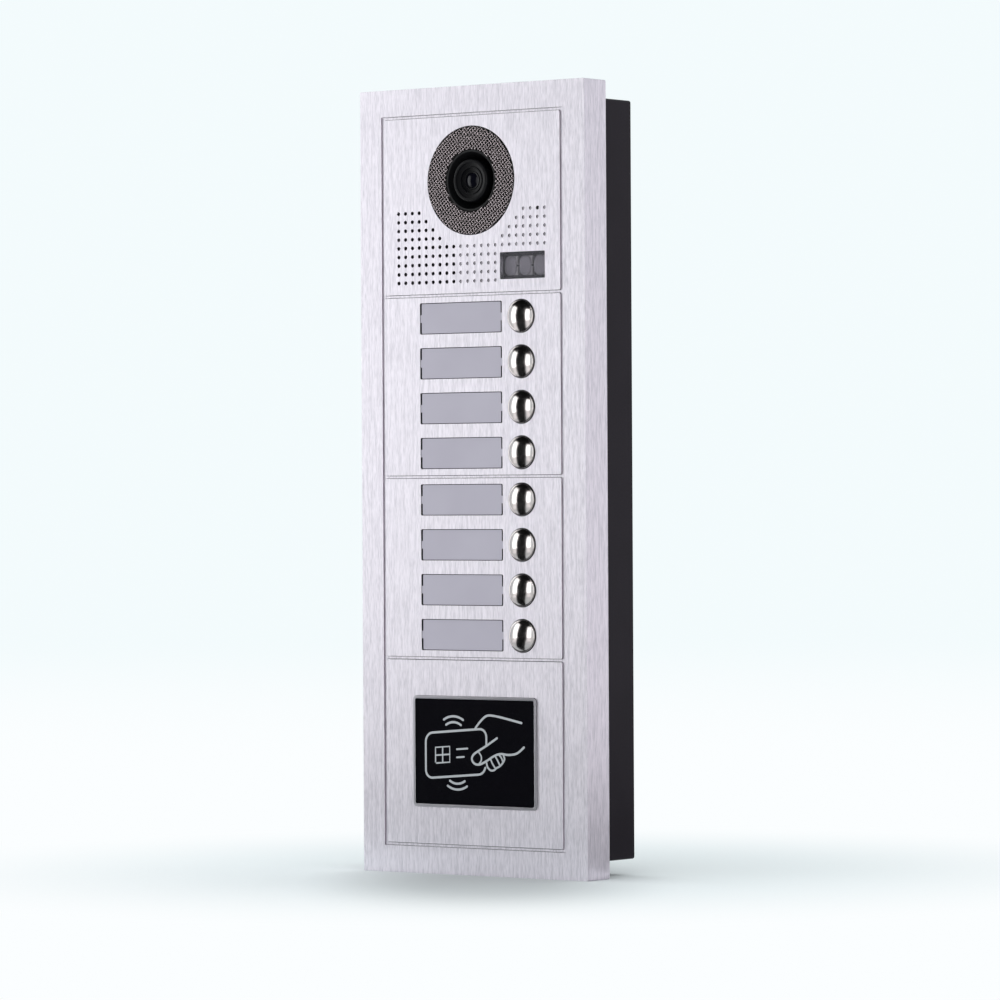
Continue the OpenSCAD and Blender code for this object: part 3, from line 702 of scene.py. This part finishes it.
def add_pictogram():
    """Generic card held to a reader: card with a chip, hand and two pairs of waves."""
    low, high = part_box("reader_window")
    centre, face = (low + high) / 2, low.y
    chip = slanted([(-22, -3.5), (-22, 3.5), (-14, 3.5), (-14, -3.5), (-22, -3.5)])
    lines = [
        (card_outline(), STROKE),
        (slanted([(-22, 0), (-14, 0)]), THIN_STROKE),
        (slanted([(-18, -3.5), (-18, 3.5)]), THIN_STROKE),
        (slanted([(-10, 2), (-4, 2)]), FINGER_STROKE),
        (slanted([(-10, -1.6), (-6, -1.6)]), FINGER_STROKE),
        (smooth_path([(0.4, 10.8), (3.2, 13.8), (6.4, 16.2), (10, 16.5), (17, 15.4), (26, 13.6)]), STROKE),
        (smooth_path([(12.4, 6.6), (7, 3.4), (2.6, 1), (-0.6, -0.9), (-1.6, -3.1), (0, -5), (2.8, -5.2),
                      (6.2, -3.8), (10.8, -1.3), (14.4, -0.3), (19, -0.6), (23.5, 0.2), (27.3, 2.9)]), STROKE),
        (smooth_path([(2.4, 0), (3.6, -1.6), (3.6, -3.4), (2.6, -4.7)]), THIN_STROKE),
        (smooth_path([(6.6, -4.6), (7.2, -6.4), (9, -7.7), (10.8, -7.5), (12, -6.6), (13.6, -5.9),
                      (15.3, -4.5), (16.5, -2.7), (16, -0.9)]), STROKE * 0.9),
        (smooth_path([(8.8, -2.7), (9.8, -4.6), (11.2, -6.4)]), FINGER_STROKE),
        (smooth_path([(11.4, -1.4), (12.8, -3.4), (13.9, -5.2)]), FINGER_STROKE),
        (smooth_path([(13.6, -0.8), (14.8, -2), (15.5, -3.4)]), FINGER_STROKE),
        (chip, THIN_STROKE),
    ]
    for radius, spread in ((10.2, 32), (7.6, 33)):
        lines.append((arc(-11.8, 5.6, radius, 90 + spread, 90 - spread, 8), STROKE))
        lines.append((arc(-9.8, -6.5, radius, 270 - spread, 270 + spread, 8), STROKE))
    bm = bmesh.new()
    for n, (path, width) in enumerate(lines):
        stroke(bm, centre, face, path, width, LINE_LIFT * n)
    add_piece("reader_pictogram", bm, "printed_ink", smooth=False)


# ---------------------------------------------------------------- stage and lights

BACKGROUND = (0.90, 0.965, 0.98)
NEAR_GLOW = (0.965, 0.99, 1.0)
FLOOR_WHITE = (0.95, 0.965, 0.97)
# painted shadow: the floor's colour at the middle of the shade under the object
FLOOR_SHADE = (0.62, 0.625, 0.63)
FLOOR_HALF = 9
SHADE_CENTRE = (0.038, -0.085, 0)
SHADE_SCALE = (0.88, 2.2, 1)

# Azimuths in degrees and heights in metres of the upright cards and softboxes
CARD_DISTANCE = 0.9
CARD_TOP = 0.56
UPRIGHT_FLAGS = (("middle_left", (-47, -24)), ("middle_right", (-24, 0)), ("camera_side", (32, 75)))
SOFTBOX_DISTANCE = 0.85
SOFTBOX_TOP = 0.52
SOFTBOX_RADIANCE = 2.7
SOFTBOXES = (("softbox_left", (-73, -47)), ("softbox_right", (0, 17)))

# Outlines in X and Y of the cards just above the floor and over the object
FLOOR_FLAGS = (
    ("low_middle", ((-0.15, -0.11), (-0.75, -0.75), (0, -1.2), (-0.02, -0.1))),
    ("low_camera_side", ((0.06, -0.08), (0.55, -0.9), (1.0, -0.25), (0.12, -0.05))),
    ("low_end", ((0.07, -0.02), (0.3, -0.02), (0.3, 0.25), (0.07, 0.25))),
)
TOP_FLAG = ((-1.1, -1.2), (0.9, -1.2), (0.9, 0.1), (-1.1, 0.1))
BOUNCE_CARDS = (
    ("left", ((-0.25, -0.21), (-0.62, -0.61), (-0.8, -0.4), (-0.4, -0.1))),
    ("right", ((0.02, -0.3), (0.02, -0.85), (0.2, -0.85), (0.1, -0.3))),
)


def stage_mesh(name, corners, material):
    mesh = bpy.data.meshes.new(name)
    mesh.from_pydata(corners, [], [tuple(range(len(corners)))])
    mesh.materials.append(material)
    obj = bpy.data.objects.new(name, mesh)
    bpy.context.scene.collection.objects.link(obj)
    return obj


def floor_material():
    """White floor with a painted soft shadow under the object, fading into the pale background further out."""
    material = bpy.data.materials.new("studio_floor")
    material.use_nodes = True
    nodes, links = material.node_tree.nodes, material.node_tree.links
    nodes.clear()

    def distance(centre=(0, 0, 0), scale=(1, 1, 1), turn=0.0):
        place = nodes.new("ShaderNodeTexCoord")
        mapping = nodes.new("ShaderNodeMapping")
        mapping.vector_type = "TEXTURE"
        mapping.inputs["Location"].default_value = centre
        mapping.inputs["Rotation"].default_value = (0, 0, turn)
        mapping.inputs["Scale"].default_value = scale
        length = nodes.new("ShaderNodeVectorMath")
        length.operation = "LENGTH"
        links.new(place.outputs["Object"], mapping.inputs["Vector"])
        links.new(mapping.outputs["Vector"], length.inputs[0])
        return length.outputs["Value"]

    def fade(source, start, end, low, high):
        node = nodes.new("ShaderNodeMapRange")
        node.interpolation_type = "SMOOTHSTEP"
        for socket, value in (("From Min", start), ("From Max", end), ("To Min", low), ("To Max", high)):
            node.inputs[socket].default_value = value
        links.new(source, node.inputs["Value"])
        return node.outputs["Result"]

    # painted shadow under the object, an ellipse darkening the floor's colour
    shade = nodes.new("ShaderNodeMix")
    shade.data_type = "RGBA"
    shade.inputs["A"].default_value = (*FLOOR_SHADE, 1)
    shade.inputs["B"].default_value = (*FLOOR_WHITE, 1)
    near = distance(SHADE_CENTRE, SHADE_SCALE, CAMERA_AZIMUTH)
    links.new(fade(near, 0.02, 0.1, 0, 1), shade.inputs["Factor"])
    white = nodes.new("ShaderNodeBsdfDiffuse")
    links.new(shade.outputs["Result"], white.inputs["Color"])
    tint = nodes.new("ShaderNodeMix")
    tint.data_type = "RGBA"
    tint.inputs["A"].default_value = (*NEAR_GLOW, 1)
    tint.inputs["B"].default_value = (*BACKGROUND, 1)
    links.new(fade(distance(), 0.8, 4.0, 0, 1), tint.inputs["Factor"])
    glow = nodes.new("ShaderNodeEmission")
    links.new(tint.outputs["Result"], glow.inputs["Color"])
    mix = nodes.new("ShaderNodeMixShader")
    out = nodes.new("ShaderNodeOutputMaterial")
    links.new(fade(distance(), 0.1, 0.32, 0, 1), mix.inputs["Fac"])
    links.new(white.outputs["BSDF"], mix.inputs[1])
    links.new(glow.outputs["Emission"], mix.inputs[2])
    links.new(mix.outputs["Shader"], out.inputs["Surface"])
    return material


def bounce_card():
    """Plain glow for the cards that lift reflections."""
    material = bpy.data.materials.new("bounce_card")
    material.use_nodes = True
    nodes, links = material.node_tree.nodes, material.node_tree.links
    nodes.clear()
    glow = nodes.new("ShaderNodeEmission")
    glow.inputs["Strength"].default_value = 1.5
    out = nodes.new("ShaderNodeOutputMaterial")
    links.new(glow.outputs["Emission"], out.inputs["Surface"])
    return material


def black_card():
    return Shader("black_card", (0.004, 0.004, 0.004), roughness=1.0, specular_ior_level=0).material


def at_azimuth(azimuth, distance):
    """A place at the face's height, at an azimuth in degrees from its normal, +X positive."""
    a = math.radians(azimuth)
    return Vector((distance * math.sin(a), FACE_Y - distance * math.cos(a), 0))


def add_flag(name, corners, material):
    """A card that only reflections see: black ones give metal its dark bands, grey ones lift it."""
    card = stage_mesh(name, corners, material)
    for ray in ("camera", "diffuse", "shadow", "transmission", "volume_scatter"):
        setattr(card, "visible_" + ray, False)


def upright(azimuths, z_range, distance):
    """Corners of an upright card between two azimuths."""
    left, right = (at_azimuth(a, distance) for a in azimuths)
    low, high = z_range
    return [(p.x, p.y, z) for p, z in ((left, low), (right, low), (right, high), (left, high))]


def add_softbox(name, azimuths, z_range, distance, radiance):
    """An upright softbox that only reflections see, filling a span of azimuths and heights."""
    half = math.radians(azimuths[1] - azimuths[0]) / 2
    data = bpy.data.lights.new(name, "AREA")
    data.shape = "RECTANGLE"
    data.size = 2 * distance * math.tan(half)
    data.size_y = z_range[1] - z_range[0]
    data.energy = radiance * math.pi * data.size * data.size_y
    light = bpy.data.objects.new(name, data)
    bpy.context.scene.collection.objects.link(light)
    light.visible_camera = False
    light.visible_diffuse = False
    light.location = at_azimuth(sum(azimuths) / 2, distance)
    light.rotation_mode = "QUATERNION"
    light.rotation_quaternion = (Vector((0, FACE_Y, 0)) - light.location).to_track_quat("-Z", "Y")
    light.location.z = sum(z_range) / 2


def add_stage():
    corners = [(x * FLOOR_HALF, y * FLOOR_HALF, 0) for x, y in ((-1, -1), (1, -1), (1, 1), (-1, 1))]
    floor = stage_mesh("studio_floor", corners, floor_material())
    floor.location.z = FLOOR_Z
    world = bpy.data.worlds.new("studio")
    world.use_nodes = True
    world.node_tree.nodes["Background"].inputs["Color"].default_value = (*BACKGROUND, 1)
    bpy.context.scene.world = world
    bpy.context.scene.view_settings.view_transform = "Standard"
    card = black_card()
    low = FLOOR_Z + 0.002
    for name, azimuths in UPRIGHT_FLAGS:
        add_flag("flag_" + name, upright(azimuths, (low, CARD_TOP), CARD_DISTANCE), card)
    for name, outline in FLOOR_FLAGS:
        add_flag("flag_" + name, [(x, y, low) for x, y in outline], card)
    add_flag("flag_top", [(x, y, CARD_TOP) for x, y in TOP_FLAG], card)
    for name, azimuths in SOFTBOXES:
        add_softbox(name, azimuths, (low, SOFTBOX_TOP), SOFTBOX_DISTANCE, SOFTBOX_RADIANCE)
    bounce = bounce_card()
    for name, outline in BOUNCE_CARDS:
        add_flag("bounce_" + name, [(x, y, low) for x, y in outline], bounce)


# ---------------------------------------------------------------- build

add_camera()
dress_nodes()
NODES["camera_ring"].data.materials[0] = MATERIALS["mesh_backing"]
NODES["lamp_board"].data.materials[0] = MATERIALS["lamp_mask"]
for node in ("camera_plate", "upper_button_plate", "lower_button_plate", "reader_plate"):
    soften(node, 0.15 * MM)
# the frame's rounds take the darker chamfer metal, a painted dark edge line
soften("face_frame", 0.5 * MM, 2, "chamfer_metal")
soften("back_box", 0.5 * MM, 3)
soften("reader_trim", 0.5 * MM, 4)
for node in ["reader_window", "lamp_window"] + [f"label_window_{i}" for i in BUTTONS]:
    soften(node, 0.2 * MM)
add_buttons()
add_springs()
add_camera_mesh()
add_lens()
add_lamp_guides()
add_pictogram()
add_stage()
